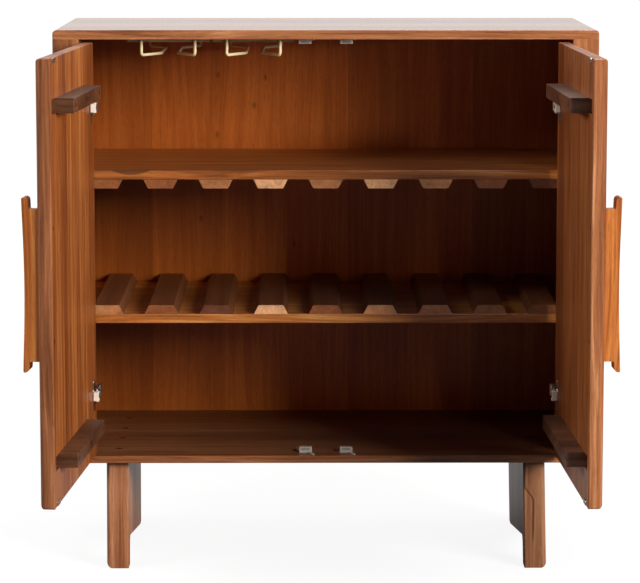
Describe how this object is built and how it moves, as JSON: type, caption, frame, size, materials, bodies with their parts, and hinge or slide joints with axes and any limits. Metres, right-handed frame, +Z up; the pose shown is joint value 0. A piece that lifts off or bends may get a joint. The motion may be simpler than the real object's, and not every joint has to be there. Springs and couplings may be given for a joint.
{
  "type": "buffet cabinet",
  "caption": "Wooden buffet cabinet on two plank legs, with battened doors, ribbed bottle shelves, stemware racks and magnetic catches.",
  "frame": {"origin": "on the floor, below the middle of the case", "axes": "+Z up, the front of the case towards -Y, +X to the right seen from the front"},
  "size_m": [1.0139, 0.8871, 1.012],
  "materials": {
    "case_wood": "satin lacquer",
    "back_wood": "satin lacquer",
    "shelf_wood": "satin lacquer",
    "dowel_wood": "bare",
    "dark_steel": "blackened screws",
    "leg_wood": "satin lacquer",
    "champagne_metal": "satin champagne",
    "rack_strip": "satin lacquer",
    "catch_plastic": "moulded",
    "magnet": "sintered",
    "nickel": "satin nickel",
    "door_wood": "satin lacquer",
    "batten_wood": "satin lacquer",
    "handle_wood": "satin lacquer"
  },
  "bodies": {
    "case": {"top_board": "case_wood", "bottom_board": "case_wood", "left_side": "case_wood", "right_side": "case_wood", "left_hinge_post": "case_wood", "right_hinge_post": "case_wood", "back_panel": "back_wood", "upper_shelf": "shelf_wood", "upper_shelf_ribs": "shelf_wood", "lower_shelf": "shelf_wood", "lower_shelf_ribs": "shelf_wood", "case_dowels": "dowel_wood", "shelf_dowels": "dowel_wood", "back_panel_screws": "dark_steel", "left_leg": "leg_wood", "right_leg": "leg_wood", "leg_screws": "dark_steel", "left_rack_wires": "champagne_metal", "left_rack_plates": "rack_strip", "right_rack_wires": "champagne_metal", "right_rack_plates": "rack_strip", "rack_screws": "champagne_metal", "upper_left_catch": "catch_plastic", "upper_right_catch": "catch_plastic", "lower_left_catch": "catch_plastic", "lower_right_catch": "catch_plastic", "catch_magnets": "magnet", "catch_screws": "nickel", "left_hinge_plates": "nickel", "right_hinge_plates": "nickel", "left_hinge_arms": "nickel", "right_hinge_arms": "nickel", "hinge_plate_screws": "nickel"},
    "left_door": {"left_door_board_1": "door_wood", "left_door_board_2": "door_wood", "left_door_board_3": "door_wood", "left_door_board_4": "door_wood", "left_upper_batten": "batten_wood", "left_lower_batten": "batten_wood", "left_batten_screws": "dark_steel", "left_handle": "handle_wood", "left_handle_screws": "dark_steel", "left_hinge_cups": "nickel", "left_strike_plates": "nickel", "left_small_screws": "nickel"},
    "right_door": {"right_door_board_1": "door_wood", "right_door_board_2": "door_wood", "right_door_board_3": "door_wood", "right_door_board_4": "door_wood", "right_upper_batten": "batten_wood", "right_lower_batten": "batten_wood", "right_batten_screws": "dark_steel", "right_handle": "handle_wood", "right_handle_screws": "dark_steel", "right_hinge_cups": "nickel", "right_strike_plates": "nickel", "right_small_screws": "nickel"},
    "left_links": {"left_hinge_links": "nickel"},
    "right_links": {"right_hinge_links": "nickel"}
  },
  "joints": [
    {"name": "left_door_hinge", "type": "hinge", "parent": "case", "child": "left_door", "pos_m": [-0.4492, -0.2189, 0.60675], "axis": [0, 0, 1], "range_deg": [-15.3, 94.7]},
    {"name": "right_door_hinge", "type": "hinge", "parent": "case", "child": "right_door", "pos_m": [0.4492, -0.2189, 0.60675], "axis": [0, 0, -1], "range_deg": [-17.9, 92.1]},
    {"name": "left_link_turn", "type": "hinge", "parent": "case", "child": "left_links", "pos_m": [-0.4492, -0.2189, 0.60675], "axis": [0, 0, 1], "range_deg": [-7.8, 47.6]},
    {"name": "right_link_turn", "type": "hinge", "parent": "case", "child": "right_links", "pos_m": [0.4492, -0.2189, 0.60675], "axis": [0, 0, -1], "range_deg": [-9.2, 46.3]}
  ],
  "couplings": [
    {"joint": "left_link_turn", "follows": "left_door_hinge", "ratio": 0.5},
    {"joint": "right_link_turn", "follows": "right_door_hinge", "ratio": 0.5}
  ]
}
